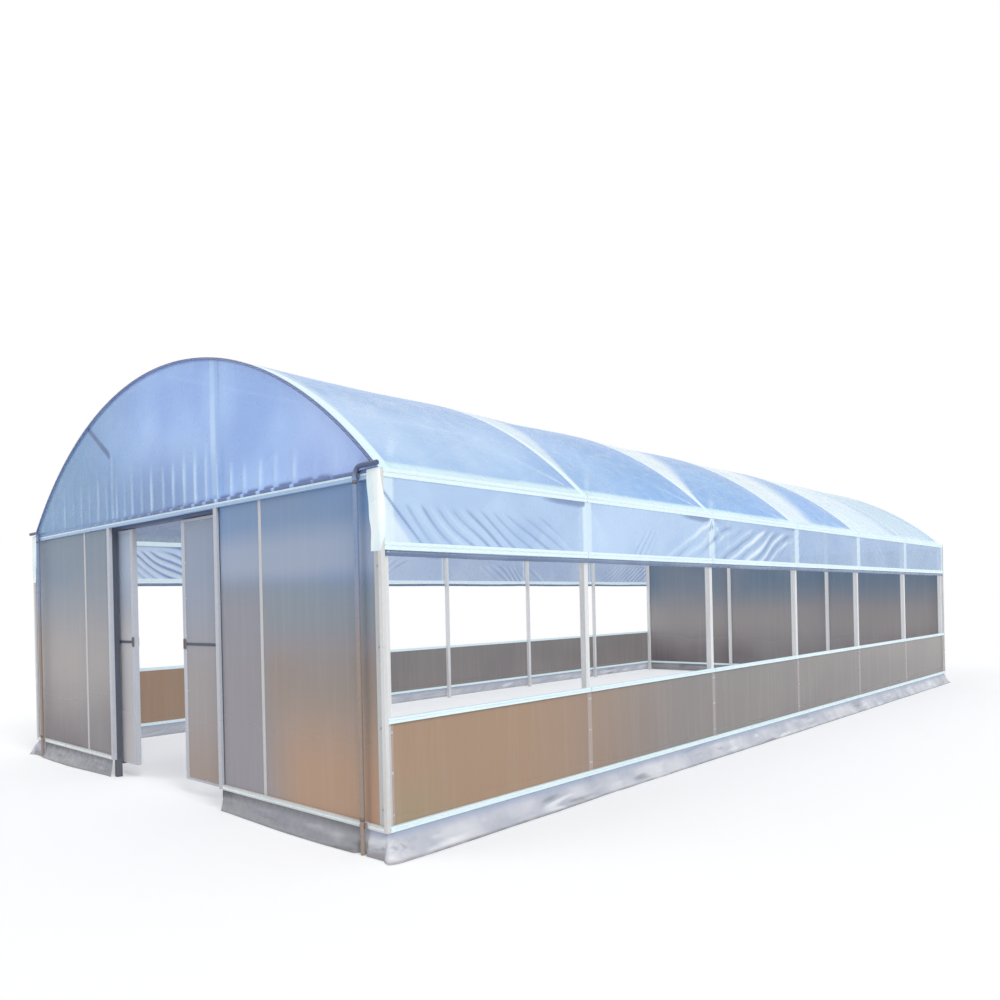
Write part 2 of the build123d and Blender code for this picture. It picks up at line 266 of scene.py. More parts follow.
class Net:
    """Nodes of an effect or a material, and where on the object a point lies in metres."""

    def __init__(self, tree):
        self.tree = tree
        self.where = self.put("TexCoord").outputs["Object"]
        self.axes = self.put("SeparateXYZ", {0: self.where}).outputs

    def fill(self, node, inputs):
        """Gives a node its inputs, as values or as links."""
        for key, value in inputs.items():
            if isinstance(value, bpy.types.NodeSocket):
                self.tree.links.new(value, node.inputs[key])
            else:
                node.inputs[key].default_value = value
        return node

    def put(self, kind, inputs=None, **settings):
        made = self.tree.nodes.new("ShaderNode" + kind)
        for key, value in settings.items():
            setattr(made, key, value)
        return self.fill(made, inputs or {})

    def maths(self, operation, *values, clamp=False):
        inputs = dict(enumerate(values))
        return self.put("Math", inputs, operation=operation, use_clamp=clamp).outputs[0]

    def times(self, *values):
        return self.maths("MULTIPLY", *values)

    def eased(self, value, low, high, start=0.0, end=1.0):
        """A value, or a place along a named axis, from low to high, eased onto start to end."""
        value = self.axes[value] if isinstance(value, str) else value
        inputs = {"Value": value, "From Min": low, "From Max": high, "To Min": start, "To Max": end}
        return self.put("MapRange", inputs, interpolation_type="SMOOTHSTEP").outputs[0]

    def mixed(self, factor, first, second):
        first, second = (tint(c) if isinstance(c, tuple) and len(c) == 3 else c
                         for c in (first, second))
        return self.put("Mix", {0: factor, 6: first, 7: second}, data_type="RGBA").outputs[2]

    def noise(self, size, detail, squeeze=(1.0, 1.0, 1.0)):
        """Soft noise whose patches are about size across, drawn out where squeezed."""
        squeezed = self.put("Mapping", {"Vector": self.where, "Scale": squeeze}).outputs[0]
        inputs = {"Vector": squeezed, "Scale": self.maths("DIVIDE", 1.0, size), "Detail": detail}
        return self.put("TexNoise", inputs).outputs["Fac"]

    def placed(self, group, **values):
        """Outputs of an effect placed here with its own values."""
        made = self.tree.nodes.new("ShaderNodeGroup")
        made.node_tree = group
        return self.fill(made, values).outputs

    def give(self, **outputs):
        """Puts an effect's results out, and hands back the effect."""
        for label in outputs:
            self.tree.interface.new_socket(label, in_out="OUTPUT", socket_type="NodeSocketFloat")
        self.fill(self.tree.nodes.new("NodeGroupOutput"), outputs)
        return self.tree


def effect(name, **inputs):
    """An empty node group with number inputs."""
    tree = bpy.data.node_groups.new(name, "ShaderNodeTree")
    for label, value in inputs.items():
        socket = tree.interface.new_socket(label, in_out="INPUT", socket_type="NodeSocketFloat")
        socket.default_value = value
    return Net(tree), tree.nodes.new("NodeGroupInput").outputs


def dust_effect():
    """Dust and rain splash: thick below Low, gone above High, in soft patches."""
    net, given = effect("Dust", Low=0.0, High=1.0, Patch=0.3)
    height = net.eased("Z", given["Low"], given["High"], 1.0, 0.0)
    patches = net.eased(net.noise(given["Patch"], 5.0), 0.3, 0.7, 0.45, 1.0)
    return net.give(Mask=net.times(height, patches))


def runs_effect():
    """Marks that rain leaves down a wall: noise drawn out along the height."""
    net, given = effect("Runs", Width=0.05)
    drawn = net.noise(given["Width"], 3.0, (1.0, 1.0, 0.05))
    return net.give(Mask=net.eased(drawn, 0.45, 0.7))


def flutes_effect():
    """Walls between the sheet's two skins: upright lines at an even pitch."""
    net, given = effect("Flutes", Pitch=0.01)
    along = net.maths("DIVIDE", net.maths("ADD", net.axes["X"], net.axes["Y"]), given["Pitch"])
    part = net.maths("ABSOLUTE", net.maths("SUBTRACT", net.maths("FRACT", along), 0.5))
    return net.give(Rib=net.eased(part, 0.34, 0.5), Height=net.eased(part, 0.0, 0.5))


def spangle_effect():
    """Crystals of a zinc coat: cells of slightly different grey."""
    net, given = effect("Spangle", Size=0.02)
    inputs = {"Vector": net.where, "Scale": net.maths("DIVIDE", 1.0, given["Size"])}
    cells = net.put("TexVoronoi", inputs).outputs["Color"]
    shade = net.put("SeparateColor", {0: cells}).outputs[0]
    return net.give(Shade=shade, Height=net.noise(given["Size"], 4.0))


def scuffs_effect():
    """Scattered scratches and chips: the sharp top of a drawn-out noise."""
    net, given = effect("Scuffs", Size=0.05, Share=0.3)
    fine = net.noise(given["Size"], 8.0, (1.0, 0.35, 1.0))
    limit = net.maths("SUBTRACT", 0.78, net.times(given["Share"], 0.3))
    return net.give(Mask=net.eased(fine, limit, net.maths("ADD", limit, 0.06)))


def haze_effect():
    """Cloudiness of weathered film: broad pale clouds and a fine mottle."""
    net, given = effect("Haze", Size=0.8)
    broad, fine = net.noise(given["Size"], 3.0), net.noise(net.times(given["Size"], 0.1), 1.0)
    return net.give(Cloud=net.eased(broad, 0.32, 0.68), Mottle=net.eased(fine, 0.3, 0.7))


def bays_effect():
    """How far along its bay a point lies, and how near the closest hoop."""
    net, given = effect("Bays", Tape=0.035)
    along = net.maths("SUBTRACT", net.axes["Y"], float(stations[0]))
    along = net.maths("DIVIDE", along, bay)
    part = net.maths("FRACT", net.maths("ADD", along, 10.0))
    near = net.maths("ABSOLUTE", net.maths("SUBTRACT", net.maths("ROUND", along), along))
    soft = net.times(given["Tape"], 1.6)
    return net.give(Part=part, Tape=net.eased(net.times(near, bay), given["Tape"], soft, 1.0, 0.0))


dust, runs, flutes, spangle = dust_effect(), runs_effect(), flutes_effect(), spangle_effect()
scuffs, haze, bays = scuffs_effect(), haze_effect(), bays_effect()


class Finish(Net):
    """A material with one shader, and the colour laid on it so far."""

    def __init__(self, name, colour=None, **settings):
        self.material = bpy.data.materials.new(name)
        self.material.use_nodes = True
        super().__init__(self.material.node_tree)
        self.shader = self.tree.nodes["Principled BSDF"]
        self.fill(self.shader, {label.replace("_", " "): settings[label] for label in settings})
        self.colour = colour

    def field(self, name):
        """A number that the mesh carries for each of its points."""
        return self.put("Attribute", attribute_name=name).outputs["Fac"]

    def lay(self, colour, amount, strength=None):
        """Lays a colour over what is there, as far as amount, times strength, says."""
        if strength is not None:
            amount = self.times(amount, strength)
        self.colour = self.mixed(amount, self.colour, colour)

    def let_light_in(self, solid, passing):
        """Alpha: solid as seen, and less so for light on its way in."""
        rays = self.put("LightPath").outputs
        inward = self.maths("MAXIMUM", rays["Is Shadow Ray"], rays["Is Diffuse Ray"])
        kept = self.maths("SUBTRACT", 1.0, self.times(inward, passing))
        self.fill(self.shader, {"Alpha": self.times(solid, kept)})

    def close(self, rough, height, distance, strength=1.0):
        """Joins colour, roughness and a bump of so many metres to the shader."""
        bump = self.put("Bump", {"Height": height, "Distance": distance, "Strength": strength})
        ends = {"Base Color": self.colour, "Roughness": rough, "Normal": bump.outputs[0]}
        self.fill(self.shader, ends)


def film_finish(name, pale, deep, ridge, crease_shade, solid, inner, hem=None, shading=None):
    """Greenhouse film: hazy tint, a painted highlight on its folds' ridges and painted shade in
    its creases, another colour over its hem, and painted shade where its inner face shows."""
    film = Finish(name, Roughness=0.32, Coat_Weight=0.12, Coat_Roughness=0.18)
    cloud = film.placed(haze, Size=0.9)
    film.colour = film.mixed(cloud["Cloud"], deep, pale)
    painted_pale = shading(film) if shading else None
    fold = film.field("fold")
    # Painted highlight on the ridges and painted shade in the creases, by the fold
    film.lay(ridge, film.eased(fold, 0.05, 0.9, 0.0, 0.85))
    film.lay(crease_shade, film.eased(fold, -0.15, -1.0, 0.0, 0.9))
    if hem:
        film.lay(hem[2], film.eased("Z", hem[0], hem[1], 1.0, 0.0))
    # Painted shade where the film's inner face shows
    film.lay(inner[1], film.put("NewGeometry").outputs["Backfacing"], inner[0])
    film.close(film.eased(cloud["Mottle"], 0.0, 1.0, 0.26, 0.4), cloud["Mottle"], 0.0004, 0.35)
    dense = film.eased(cloud["Cloud"], 0.0, 1.0, solid - 0.05, solid + 0.05)
    folded = film.times(film.maths("ABSOLUTE", fold), 0.12)
    dense = film.maths("ADD", dense, folded, clamp=True)
    # Where the shading paints the film pale, the film is also denser
    if shading:
        dense = film.maths("MAXIMUM", dense, film.times(painted_pale, 0.95))
    film.let_light_in(dense, 0.75)


def roof_painted_shading(film):
    """Painted reflection and shade along each bay: the film goes from pale behind its front
    hoop, over a strip that is widest at the crown, to deeper blue before the next, with a thin
    painted shadow line just before each hoop; pale tape covers each hoop, its paleness partly
    painted glare."""
    strip = film.placed(bays, Tape=0.03)
    rise = film.eased("Z", eave_level + 0.05, eave_level + 1.15)
    # Painted reflection: bluer towards the front and at the crown
    film.lay((112, 172, 233), film.eased("Y", -5.2, -2.4, 0.0, 0.95))
    crown = film.eased("Z", eave_level + 0.45, eave_level + 0.9, 0.0, 0.95)
    film.lay((128, 172, 228), crown, 0.8)
    values = (0.08, 0.02, 0.45)
    for number, *steps in ((1, 0.2, 0.0, 0.35), (2, 0.36, 0.0, 0.2),
                           (3, -0.1, 0.4, 0.0), (4, 0.0, 0.6, 0.0)):
        hoop = float(stations[number])
        reached = film.eased("Y", hoop - 0.015, hoop + 0.015)
        values = [film.maths("ADD", film.times(reached, step), before)
                  for step, before in zip(steps, values)]
    spread, least, amount = values
    wide = film.maths("ADD", least, film.times(rise, spread))
    beyond = film.maths("DIVIDE", strip["Part"], wide)
    pale = film.times(film.eased(beyond, 0.55, 1.1, 1.0, 0.0), amount)
    # Painted sheen behind each hoop
    film.lay((236, 251, 255), pale, 0.92)
    # Painted reflection: paler towards the far end
    film.lay((222, 244, 253), film.eased("Y", 1.9, 2.2, 0.0, 0.7))
    film.lay((180, 216, 234), film.eased("Y", 3.9, 4.3, 0.0, 0.75))
    # Painted shade before each hoop, then a thin painted shadow line of the hoop
    film.lay((124, 166, 226), film.eased(strip["Part"], 0.7, 0.98, 0.0, 0.42))
    film.lay((100, 142, 200), film.eased(strip["Part"], 0.962, 0.978, 0.0, 0.6))
    # Tape over each hoop and along each end; its paleness is partly painted glare
    end = film.maths("ABSOLUTE", film.axes["Y"])
    edge = film.eased(end, roof_reach - 0.105, roof_reach - 0.085)
    tape = film.maths("MAXIMUM", strip["Tape"], edge)
    film.lay((226, 249, 255), tape, 0.9)
    pale = film.maths("MAXIMUM", film.times(pale, 0.85), crown)
    return film.maths("MAXIMUM", tape, pale)


def band_painted_shading(film):
    """Further bays are greyer, and painted pale stripes over the posts stand for the lit posts seen
    through the film.
    """
    film.lay((140, 168, 204), film.eased("Y", -5.0, 1.6, 0.0, 0.75))
    # Painted highlight over each post behind the film
    post_highlight = film.placed(bays, Tape=0.045)["Tape"]
    film.lay((218, 240, 252), post_highlight, 0.8)
    return film.times(post_highlight, 0.95)


def gable_shading(film):
    """The gable is greyer towards its left foot and greener at its left end."""
    left = film.eased("X", -0.2, 1.7, 1.0, 0.0)
    foot = film.eased("Z", eave_level + 0.1, eave_level + 0.75, 0.85, 0.0)
    film.lay((104, 140, 190), left, foot)
    film.lay((108, 152, 198), film.eased("X", -1.9, 0.1, 1.0, 0.0))
    film.lay((182, 196, 244), film.eased("X", 1.6, 2.6, 0.0, 0.4))
    return 0.0


def sheet_finish(name, top, middle, low, solid, heights, tinge, painted_light_patches=(), posts=False):
    """Twin-wall sheet: flutes, colours by height and broad patches that are painted light of
    what shows through it, faint rain runs, and splashed earth towards its foot that also
    stands for the ground seen through it. Each listed patch grows from 0 to 1 along the axes
    it names."""
    pane = Finish(name, Roughness=0.3, IOR=1.45)
    splashed, clear, topmost = heights
    # Painted light of what shows through the sheet, changing with height
    pane.colour = pane.mixed(pane.eased("Z", clear, topmost), middle, top)
    # Towards the foot: splashed dust, and painted light of the ground seen through the sheet
    splash = pane.placed(dust, Low=splashed, High=clear, Patch=1.7)["Mask"]
    pane.lay(low, splash)
    pane.lay(tinge, pane.eased(pane.noise(1.2, 1.0), 0.38, 0.66), 0.3)
    # Patches of painted light from what shows through the sheet
    for patch_light, amount, limits in painted_light_patches:
        for axis, start, stop in limits:
            amount = pane.times(pane.eased(axis, start, stop), amount)
        pane.lay(patch_light, amount)
    pane.lay((212, 216, 222), pane.placed(runs, Width=0.06)["Mask"], 0.035)
    rib = pane.placed(flutes, Pitch=0.0105)
    pane.lay((214, 220, 226), rib["Rib"], 0.08)
    # Painted pale stripes where the posts stand behind the sheet, for the lit posts seen through it
    if posts:
        pane.lay((196, 182, 184), pane.placed(bays, Tape=0.02)["Tape"], 0.4)
    pane.close(pane.eased(splash, 0.0, 1.0, 0.24, 0.45), rib["Height"], 0.0006, 0.5)
    dense = pane.maths("ADD", solid, pane.times(rib["Rib"], 0.04))
    dense = pane.maths("ADD", dense, pane.times(splash, 0.04), clamp=True)
    pane.let_light_in(dense, 0.7)


def metal_finish(name, coat, wear, soil, metallic, roughness, size, soiled=(0.0, 1.1), marks=1.0):
    """Coated steel: a faint spangle, scuffs to the metal below, and dust at its foot."""
    metal = Finish(name, coat, Metallic=metallic)
    grain = metal.placed(spangle, Size=size)
    metal.lay(tint(coat, 0.86), grain["Shade"], 0.5 * marks)
    metal.lay(soil, metal.placed(runs, Width=0.03)["Mask"], 0.25 * marks)
    metal.lay(wear, metal.placed(scuffs, Size=0.06, Share=0.25)["Mask"], 0.6 * marks)
    earth = metal.placed(dust, Low=soiled[0], High=soiled[1], Patch=0.12)["Mask"]
    metal.lay(soil, earth, 0.45 * marks)
    rough = metal.maths("ADD", roughness, metal.times(earth, 0.2), clamp=True)
    rough = metal.maths("ADD", rough, metal.times(grain["Shade"], 0.08))
    metal.close(rough, grain["Height"], 0.0004)


def pipe_finish(name):
    """Guide pipe: brown, bluish higher up, and dark at its bend."""
    pipe = Finish(name, (150, 134, 124), Metallic=0.1)
    grain = pipe.placed(spangle, Size=0.014)
    pipe.lay((124, 146, 182), pipe.eased("Z", 1.1, 2.0))
    pipe.lay((72, 88, 122), pipe.eased("Z", eave_level - 0.05, eave_level + 0.03))
    pipe.lay((120, 112, 108), grain["Shade"], 0.2)
    pipe.lay((168, 164, 162), pipe.placed(scuffs, Size=0.05, Share=0.3)["Mask"], 0.3)
    pipe.close(pipe.eased(grain["Shade"], 0.0, 1.0, 0.4, 0.58), grain["Height"], 0.0004)


def skirt_finish(name, pale, shade, ridge, soil, under, returns=None):
    """Ground skirt: whitish film, painted highlight on its folds and painted shade in their
    creases, painted cool shade below the rail, a thin line of earth along its hem, and darker
    painted shade where it returns along the ends."""
    film = Finish(name, Roughness=0.5)
    cloud = film.placed(haze, Size=0.5)
    film.colour = film.mixed(cloud["Cloud"], shade, pale)
    fold, hem = film.field("fold"), film.field("hem")
    # Painted highlight on the ridges and painted shade in the creases
    film.lay(ridge, film.eased(fold, 0.1, 1.0, 0.0, 0.8))
    film.lay(tint(shade, 0.45), film.eased(fold, -0.2, -1.0, 0.0, 0.8))
    # Painted shade where the skirt returns along the ends
    if returns:
        beyond = film.eased(film.maths("ABSOLUTE", film.axes["Y"]), wall_face, wall_face + 0.02)
        across = film.maths("ABSOLUTE", film.axes["X"])
        beside = film.eased(across, side_face + 0.02, side_face - 0.02)
        film.lay(returns, film.times(beyond, beside), 0.75)
    # Painted cool shade below the rail
    film.lay(under, film.eased(hem, 0.03, 0.36, 0.85, 0.0))
    patch = film.eased(film.noise(0.16, 4.0), 0.3, 0.7, 0.5, 1.0)
    film.lay(soil, film.times(film.eased(hem, 0.82, 0.97), patch), 0.9)
    film.close(film.eased(cloud["Mottle"], 0.0, 1.0, 0.32, 0.6), cloud["Mottle"], 0.002)
    film.let_light_in(film.eased(cloud["Cloud"], 0.0, 1.0, 0.86, 0.95), 0.5)


# Films: pale and deep tint, painted highlight on ridges, painted shade in creases, how solid, and
# the share and colour of the painted shade on the inner face
film_finish(
    "roof_film_blue", (178, 209, 244), (152, 194, 240), (216, 238, 253), (112, 150, 208),
    0.82, (0.75, (84, 108, 158)), (2.435, 2.475, (214, 244, 253)), roof_painted_shading,
)
film_finish(
    "gable_film_blue", (166, 201, 252), (144, 182, 246), (204, 230, 254), (66, 92, 146),
    0.88, (0.3, (120, 146, 196)), shading=gable_shading,
)
film_finish(
    "side_film_pale", (192, 219, 249), (174, 203, 240), (232, 246, 255), (118, 142, 184),
    0.82, (0.3, (132, 146, 190)), shading=band_painted_shading,
)
film_finish(
    "corner_film_white", (232, 250, 254), (222, 244, 251), (248, 254, 255), (188, 208, 226),
    0.95, (0.3, (180, 196, 214)),
)
# Rolled film: its dark colour is painted shade under the vent head
film_finish(
    "rolled_film_blue", (122, 140, 172), (94, 112, 146), (156, 172, 198), (66, 82, 116),
    0.95, (0.0, (94, 112, 146)),
)

# Sheets: colour at the top, in the middle and low down, as painted light of what shows through
# them, how solid, the heights where these change, tinge of the patches, and patches of painted
# light as colour, strength and axis from and to
# The right front sheet's colours and patches are painted light of what shows through it
sheet_finish(
    "right_end_sheet", (102, 142, 192), (146, 130, 120), (156, 140, 136),
    0.9, (0.25, 1.0, 2.05), (142, 146, 148),
    (((178, 184, 200), 0.5, (("Z", 1.66, 1.86), ("Z", 2.2, 1.95))),
     ((128, 140, 142), 0.5, (("Z", 1.3, 1.5), ("Z", 1.8, 1.62))),
     ((142, 141, 152), 0.75, (("X", 1.8, 1.5), ("Z", 1.9, 1.5))),
     ((184, 142, 108), 0.7, (("X", 1.55, 2.15), ("Z", 1.15, 0.4)))),
)
sheet_finish(
    "end_wall_sheet", (106, 126, 148), (154, 148, 148), (103, 95, 100),
    0.9, (0.2, 1.1, 1.95), (150, 148, 152),
)
# The left leaf's panes are painted paler and bluer, as painted light against the jamb's shade
sheet_finish(
    "door_pane_sheet", (138, 153, 178), (154, 147, 148), (156, 138, 128),
    0.88, (0.1, 0.9, 1.9), (160, 156, 160),
    (((186, 199, 218), 0.65, (("X", -0.4, -0.7), ("Z", 1.3, 2.0))),
     ((196, 195, 198), 0.75, (("X", -0.4, -0.7), ("Z", 1.8, 1.3)))),
)
# The low wall's brown towards the front is painted light of the ground seen through it
sheet_finish(
    "low_wall_sheet", (129, 125, 125), (127, 121, 121), (124, 119, 118),
    0.9, (0.0, 0.4, 0.9), (144, 138, 134),
    (((162, 133, 108), 0.95, (("Y", -2.4, -5.2),)),
     ((150, 140, 112), 0.5, (("Y", -5.5, -6.1), ("Z", 0.6, 0.25)))), posts=True,
)

# Coats: coat, worn metal, soil, how metallic, roughness, spangle size, dust's low and high
# level, and how strong the marks are
for name, *values in (
    ("rail_white_coat", (226, 246, 252), (208, 218, 224), (196, 198, 198), 0.0, 0.34, 0.03,
     (0.05, 0.4), 0.4),
    # The beams' blue coat is the rails' white with painted shade and sky light of the end faces
    ("beam_blue_coat", (160, 190, 226), (140, 160, 186), (128, 152, 180), 0.0, 0.36, 0.03,
     (0.05, 0.7), 0.6),
    ("post_pale_coat", (224, 226, 228), (178, 178, 180), (160, 150, 140), 0.05, 0.4, 0.02,
     (0.0, 0.8), 0.6),
    ("door_post_coat", (98, 102, 116), (120, 124, 134), (84, 80, 80), 0.1, 0.45, 0.02,
     (0.0, 0.4), 1.4),
    ("hoop_zinc_coat", (212, 222, 232), (176, 180, 186), (150, 156, 164), 0.35, 0.38, 0.018),
    ("leaf_pale_coat", (186, 191, 202), (158, 158, 162), (160, 150, 142), 0.0, 0.4, 0.02,
     (0.0, 1.1), 0.7),
    ("corner_channel_coat", (214, 215, 216), (166, 166, 168), (170, 158, 146), 0.0, 0.42, 0.02,
     (0.0, 1.0), 0.6),
    ("edge_bar_coat", (194, 196, 198), (168, 168, 172), (172, 164, 158), 0.0, 0.42, 0.02,
     (0.0, 1.0), 0.6),
    # The track's dark coat is painted shade under the beam
    ("track_blue_coat", (98, 112, 146), (120, 130, 152), (96, 100, 116), 0.2, 0.42, 0.02),
    ("bare_dark_steel", (112, 104, 102), (150, 146, 142), (140, 118, 100), 0.3, 0.46, 0.014),
    ("dark_seal_rubber", (74, 82, 98), (96, 102, 114), (104, 98, 96), 0.0, 0.6, 0.01),
    ("lock_wire_steel", (216, 226, 232), (184, 188, 192), (180, 178, 174), 0.1, 0.4, 0.01,
     (0.0, 1.1), 0.5),
    ("film_lock_steel", (106, 124, 184), (136, 150, 190), (104, 116, 150), 0.1, 0.42, 0.02),
):
    metal_finish(name, *values)
pipe_finish("guide_pipe_steel")

# Skirts: pale and shade tint, ridge as painted highlight, soil, painted shade under the rail, and
# the returns' painted shade
skirt_finish(
    "skirt_film_white", (204, 205, 212), (166, 172, 186), (232, 234, 238), (112, 106, 106),
    (146, 158, 184), (104, 98, 106),
)
# Shaded copy of the skirt film for the end skirts: its darker colours are painted shade
skirt_finish(
    "skirt_film_grey", (142, 142, 147), (117, 119, 130), (170, 170, 176), (92, 86, 84),
    (84, 86, 96),
)

# Finishes of the frame's parts, by how a part's name begins or ends; a later row holds
for finish, *keys in (
    ("rail_white_coat", "eave", "vent", "sill", "base", "back_base"),
    ("hoop_zinc_coat", "hoop", "ridge", "gable_brace"),
    ("post_pale_coat", "posts", "back_gable"),
    ("door_post_coat", "door_post"),
    ("corner_channel_coat", "front_base", "corner"),
    ("beam_blue_coat", "front_beam", "back_beam"),
    ("low_wall_sheet", "low_wall"),
    ("end_wall_sheet", "front_sheet", "back_sheets"),
    ("right_end_sheet", "front_sheet_right"),
    ("door_pane_sheet", "panes"),
    ("leaf_pale_coat", "door_jambs", "frame"),
    ("guide_pipe_steel", "guide_pipe"),
    ("track_blue_coat", "door_track"),
    ("bare_dark_steel", "door_guides", "handle", "trolleys"),
):
    for node, made in frame["nodes"].items():
        if node.startswith(tuple(keys)) or node.endswith(tuple(keys)):
            for material_slot in made.material_slots:
                material_slot.material = bpy.data.materials[finish]


# Films


def roof_point(angle, y, radius):
    """Point on the roof: radius times sine and cosine of the angle about its centre."""
    return joined(radius * np.sin(angle), y, roof_centre + radius * np.cos(angle))


def roof_cover():
    """Roof film: the hoops' arc, drawn in between hoops by the square of a sine, with
    creases that fan out from the top of each post and a soft rumple near the eaves."""
    angle = np.linspace(-roof_angle, roof_angle, 150)[:, None]
    y = np.linspace(-roof_reach, roof_reach, 440)[None, :]
    free = np.sin(np.pi * np.clip((y - stations[0]) / bay, 0, 6)) ** 2
    foot = (roof_angle - np.abs(angle)) * film_radius
    slack = rumple(y, angle * film_radius, 1.1, 3) * 0.004
    eave = rumple(y, foot, 0.32, 5) * np.exp(-foot / 0.28)
    fan = np.zeros(np.broadcast(angle, y).shape)
    for number, station in enumerate(stations):
        reach = np.hypot(foot, y - station)
        spoke = np.arctan2(foot + 0.02, np.abs(y - station)) * 7 + number
        fan += np.cos(spoke) ** 5 * np.exp(-reach / 0.42) * ease(np.abs(y - station), 0.03, 0.2)
    inward = 0.015 * free * (1 - 0.4 * (angle / roof_angle) ** 2)
    radius = film_radius - inward + free * (slack + 0.004 * eave) + 0.006 * fan * free
    hoops = [f"hoop_{k}" for k in range(1, 8)]
    sheet("roof_cover", roof_point(angle, y, radius), "roof_film_blue", "stretched", hoops,
          ["roof_film"], False, 0.35 * eave * free + 1.2 * fan, "roof_film")


# Pleats at the gable's foot: where along the beam, and how strong
PLEATS = np.array((
    (-2.42, 0.2), (-2.1, 0.35), (-1.86, 0.3), (-1.66, 0.45), (-1.46, 0.35), (-1.25, 0.5),
    (-1.05, 0.4), (-0.83, 0.6), (-0.66, 0.4), (-0.5, 0.55), (-0.31, 0.45), (-0.115, 0.7),
    (0.111, 0.6), (0.291, 0.75), (0.482, 0.65), (0.666, 0.8), (0.844, 0.7), (1.03, 1.0),
    (1.224, 0.75), (1.41, 0.6), (1.629, 0.7), (1.824, 0.5), (2.06, 0.6), (2.3, 0.3),
    (2.52, 0.25),
))


def pleats(x, end, width=0.03):
    """Sum of bell curves of the distance to each pleat, as strong as listed."""
    centres, strengths = end * -PLEATS[:, 0], PLEATS[:, 1]
    bells = strengths * np.exp(-(((x[..., None] - centres) / width) ** 2))
    return bells.sum(axis=-1)


def gable_cover(end, name, seed):
    """Gable film under the hoop: upright columns from the beam to the arc. Pleats stand out
    from it at the beam, each a narrow ridge, and fade to nothing above them. At the front
    the film is painted pale over the door posts behind it, with painted shadow beside them
    and along the brace behind it; at its foot painted shade lies between the pleats."""
    node = f"gable_film_{name}"
    low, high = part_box(node)
    x = np.linspace(low.x + 0.004, high.x - 0.004, 900)[:, None]
    part = np.linspace(0, 1, 54)[None, :] ** 1.3
    arc = film_radius - 0.004
    top = roof_centre + np.sqrt(arc**2 - x**2)
    z = low.z + 0.0005 + (np.maximum(top, low.z + 0.002) - low.z - 0.0005) * part
    height = z - low.z
    tall = 0.5 - 0.2 * ease(-end * x, 0.95, 1.3) + 0.05 * rumple(x, 0 * x, 0.4, seed + 1)
    within = ease(2.75 - np.abs(x), 0, 0.5)
    ridges = pleats(x, end)
    pleat = ridges * (1 - ease(height, 0.35 * tall, 1.1 * tall))
    soft = 0.5 + 0.5 * rumple(x, z, 1.3, seed + 3)
    out = 0.002 + 0.014 * pleat.clip(0, 1.2) + 0.003 * np.clip(soft, 0, 1) * ease(height, 0, 0.2)
    grid = joined(x, end * (end_face + out), z)
    # deep and foot: painted shade along the film's foot between the pleats
    deep = 0.03 + 0.035 * ease(-end * x, -1.2, 2.4)
    foot = (1 - ease(height, 0.0, deep)) * (1 - ridges).clip(0, 1)
    fold = 0.9 * pleat - 0.95 * foot * within + 0.1 * rumple(x, z, 0.8, seed + 4)
    # Painted highlight over the door posts behind the film and painted shadow beside them, and a
    # painted shadow line along the brace
    if end < 0:
        fold += 0.42 * window(x, 0.935, 0.975, 0.04) - 0.42 * window(x, 1.04, 1.06, 0.025)
        fold += 0.42 * window(x, -0.955, -0.92, 0.035) * (1 - ease(z, 2.98, 3.06))
        brace = np.abs((x + 1.0) * 0.31 + (z - 3.03) * 0.46) / 0.555
        fold -= 1.3 * (1 - ease(brace, 0.005, 0.045)) * window(x, -1.46, -0.99, 0.03)
    sheet(f"gable_cover_{name}", grid, "gable_film_blue", "stretched", [f"{name}_beam"],
          [node], end > 0, fold)


def gable_fringes():
    """Foot of each gable film, drawn over its beam into the groove: a bent line carried
    across, whose pleats stand out by a bell curve each, with painted shade between them."""
    bend = np.array(((-0.003, -0.0255), (0.0012, -0.022), (0.0016, -0.012), (0.0014, -0.002),
                     (-0.001, 0.0022), (-0.012, 0.0032), (-0.023, 0.0038), (-0.028, 0.0042)))
    rise = np.linspace(0, 1, len(bend))
    swell = np.sin(np.pi * np.clip(rise * 1.15, 0, 1))
    x = np.linspace(-post_face + 0.04, post_face - 0.04, 900)[:, None]
    for end, name in ENDS:
        pleat = pleats(x, end, 0.028).clip(0, 1.2)
        out = bend[None, :, 0] + 0.0045 * pleat * swell
        z = eave_level + bend[None, :, 1] + 0.004 * pleat * swell * rise
        grid = joined(x, end * (wall_face + out), z)
        # Painted shade between the pleats
        dark = (1.1 - pleats(x, end)).clip(0, 1) * (0.5 + 0.6 * ease(-end * x, -1.8, 0.6))
        sheet(f"gable_fringe_{name}", grid, "gable_film_blue", "stretched", [f"{name}_beam"],
              [], end > 0, 0.8 * pleat - dark + 0 * z)


# Creases in a side band: from and to along Y, lean, spacing, strength, how narrow, crest,
# where down the film they start, seed
BAND_CREASES = {
    1: (
        (-5.97, -4.35, 1.0, 0.172, 0.65, 3.0, 0.3, 0.26, 11),
        (-3.42, -3.1, -0.93, 0.085, 0.5, 4, 0.5, 0.3, 12),
        (-2.95, -0.7, -2.2, 0.3, 0.75, 2.2, 0.8, 0.06, 13),
        (-0.7, 0.0, -1.6, 0.15, 0.3, 4, 0.4, 0.05, 14),
        (3.0, 3.9, 1.4, 0.16, 0.25, 4, 0.5, 0.2, 15),
    ),
    -1: (
        (-6.0, -3.9, 1.5, 0.15, 1.0, 2.6, 1.0, 0.05, 21),
        (-2.6, -1.4, -1.7, 0.17, 0.7, 3, 0.8, 0.05, 22),
        (1.2, 2.6, 1.3, 0.18, 0.6, 4, 0.6, 0.2, 23),
        (4.4, 5.9, -1.8, 0.16, 0.8, 3, 0.8, 0.05, 24),
    ),
}
# Seed of the creases that lean less towards the corner
STEEPER_CREASES = 11


